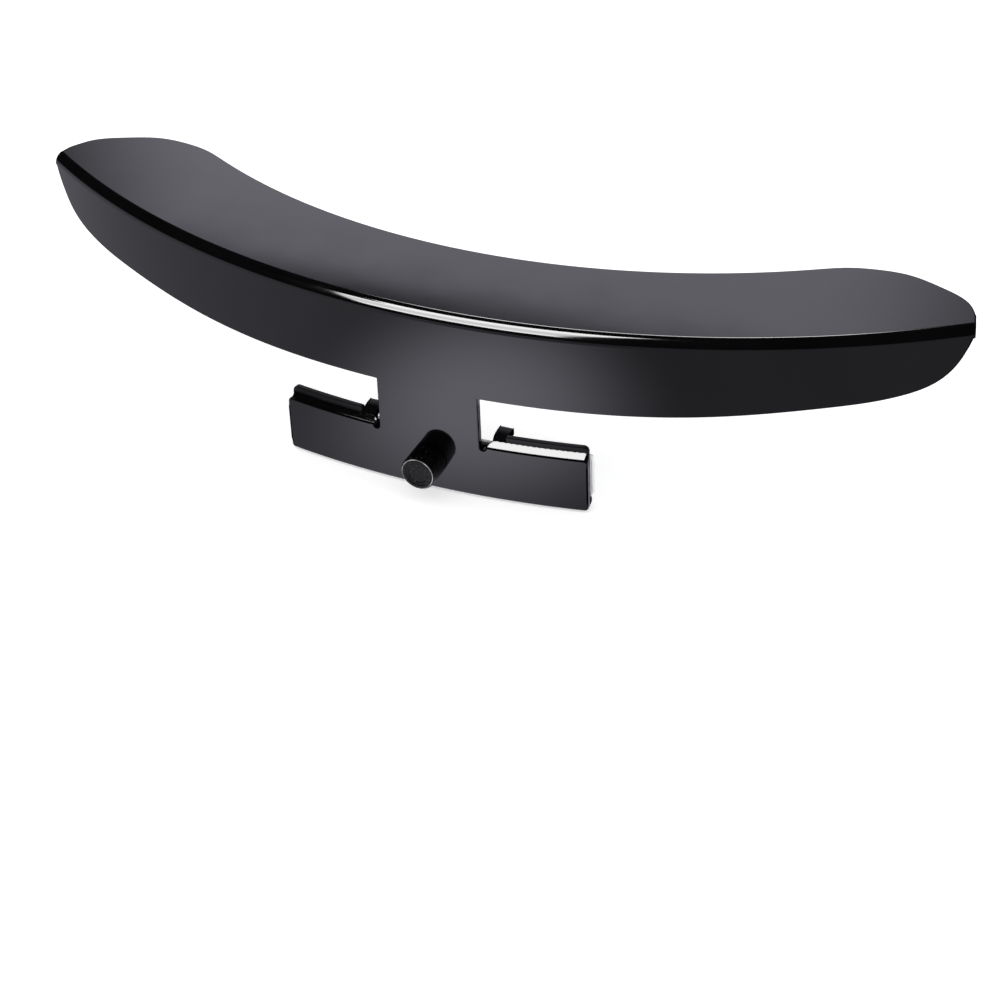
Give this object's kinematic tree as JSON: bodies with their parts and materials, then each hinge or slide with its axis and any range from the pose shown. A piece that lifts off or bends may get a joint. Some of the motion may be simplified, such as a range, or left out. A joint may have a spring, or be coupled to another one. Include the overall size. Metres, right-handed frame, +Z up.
{
  "type": "crescent trim cap",
  "caption": "Curved gloss-black L-section trim cap with a T-shaped foot that is taped and pinned to its support.",
  "frame": {"origin": "the point where the locating pin's axis passes through the seat, the free face of the tape, in the middle of the part", "axes": "+X along the crescent from left tip to right tip as seen from its convex front, +Y from the convex front towards the seat's open side and out along the pin's rear end, +Z up to the flat top plate"},
  "size_m": [0.2498, 0.0645, 0.0508],
  "materials": {
    "shell_gloss": "polished piano black, deep gloss outside, satin inside",
    "carrier_satin": "fine satin grain",
    "tape_foam": "white closed-cell foam, cut edges",
    "tape_liner": "coated release liner, pale blue-grey, faint scuffs",
    "pin_matte": "coarse matte grain"
  },
  "bodies": {
    "trim": {"crescent_shell": "shell_gloss", "foot_carrier": "carrier_satin", "foam_tape": "tape_foam", "locating_pin": "pin_matte"},
    "liner": {"release_liner": "tape_liner"}
  },
  "joints": [
    {"name": "liner_peel", "type": "slide", "parent": "trim", "child": "liner", "axis": [0, 1, 0], "range_m": [0, 0.02]}
  ]
}
